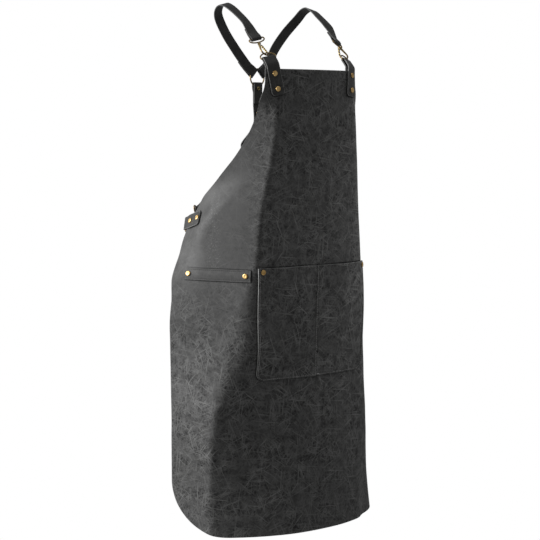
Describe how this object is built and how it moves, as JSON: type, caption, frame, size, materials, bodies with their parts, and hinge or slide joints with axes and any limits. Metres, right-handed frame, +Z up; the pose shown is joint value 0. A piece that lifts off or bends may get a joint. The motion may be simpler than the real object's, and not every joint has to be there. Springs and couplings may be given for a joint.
{
  "type": "cross-back apron",
  "caption": "Leather work apron in its worn shape: curved bib and skirt, split front pocket, and straps on brass snap hooks that meet at a ring behind the shoulders.",
  "frame": {"origin": "on the wearer's centre plane at the height of the shoulder straps' tops, over the middle of the torso", "axes": "+Z up; the wearer faces -Y, so the bib is at -Y, and +X is the wearer's left"},
  "size_m": [0.4498, 0.2281, 0.9852],
  "materials": {
    "body_leather": "distressed matt",
    "strap_leather": "satin",
    "brass": "antique, worn bright on edges"
  },
  "bodies": {
    "apron": {"apron_body": "body_leather", "front_pocket": "body_leather", "side_strip": "body_leather", "shoulder_strap_right": "strap_leather", "shoulder_strap_left": "strap_leather", "waist_strap_right": "strap_leather", "waist_strap_left": "strap_leather", "centre_back_strap": "strap_leather", "shoulder_tab_right": "strap_leather", "shoulder_tab_left": "strap_leather", "waist_tab_right": "strap_leather", "waist_tab_left": "strap_leather", "upper_ring": "brass", "lower_ring": "brass", "shoulder_d_ring_right": "brass", "shoulder_d_ring_left": "brass", "waist_d_ring_right": "brass", "waist_d_ring_left": "brass", "shoulder_hook_right": "brass", "shoulder_hook_left": "brass", "waist_hook_right": "brass", "waist_hook_left": "brass", "shoulder_hook_eye_right": "brass", "shoulder_hook_eye_left": "brass", "waist_hook_eye_right": "brass", "waist_hook_eye_left": "brass", "shoulder_tab_rivet_right_1": "brass", "shoulder_tab_rivet_right_2": "brass", "shoulder_tab_rivet_left_1": "brass", "shoulder_tab_rivet_left_2": "brass", "waist_tab_rivet_right_1": "brass", "waist_tab_rivet_right_2": "brass", "waist_tab_rivet_left_1": "brass", "waist_tab_rivet_left_2": "brass", "pocket_rivet_right": "brass", "pocket_rivet_left": "brass", "strip_rivet_1": "brass", "strip_rivet_2": "brass", "back_rivet": "brass", "back_eyelet": "brass"},
    "shoulder_hook_gate_right": {"shoulder_hook_gate_right": "brass"},
    "shoulder_hook_gate_left": {"shoulder_hook_gate_left": "brass"},
    "waist_hook_gate_right": {"waist_hook_gate_right": "brass"},
    "waist_hook_gate_left": {"waist_hook_gate_left": "brass"}
  },
  "joints": [
    {"name": "shoulder_gate_hinge_right", "type": "hinge", "parent": "apron", "child": "shoulder_hook_gate_right", "pos_m": [-0.09577, -0.05633, -0.08086], "axis": [-0.2386, 0.7078, -0.6648], "range_deg": [0, 20], "stiffness_Nm_per_rad": 0.005, "springref_deg": -20.05},
    {"name": "shoulder_gate_hinge_left", "type": "hinge", "parent": "apron", "child": "shoulder_hook_gate_left", "pos_m": [0.0952, -0.05429, -0.08184], "axis": [-0.1464, -0.745, 0.6508], "range_deg": [0, 20], "stiffness_Nm_per_rad": 0.005, "springref_deg": -20.05},
    {"name": "waist_gate_hinge_right", "type": "hinge", "parent": "apron", "child": "waist_hook_gate_right", "pos_m": [-0.1372, 0.09206, -0.39505], "axis": [0.547, -0.2809, -0.7886], "range_deg": [0, 20], "stiffness_Nm_per_rad": 0.005, "springref_deg": -20.05},
    {"name": "waist_gate_hinge_left", "type": "hinge", "parent": "apron", "child": "waist_hook_gate_left", "pos_m": [0.11762, 0.10491, -0.39471], "axis": [0.4373, 0.4661, 0.7691], "range_deg": [0, 20], "stiffness_Nm_per_rad": 0.005, "springref_deg": -20.05}
  ]
}
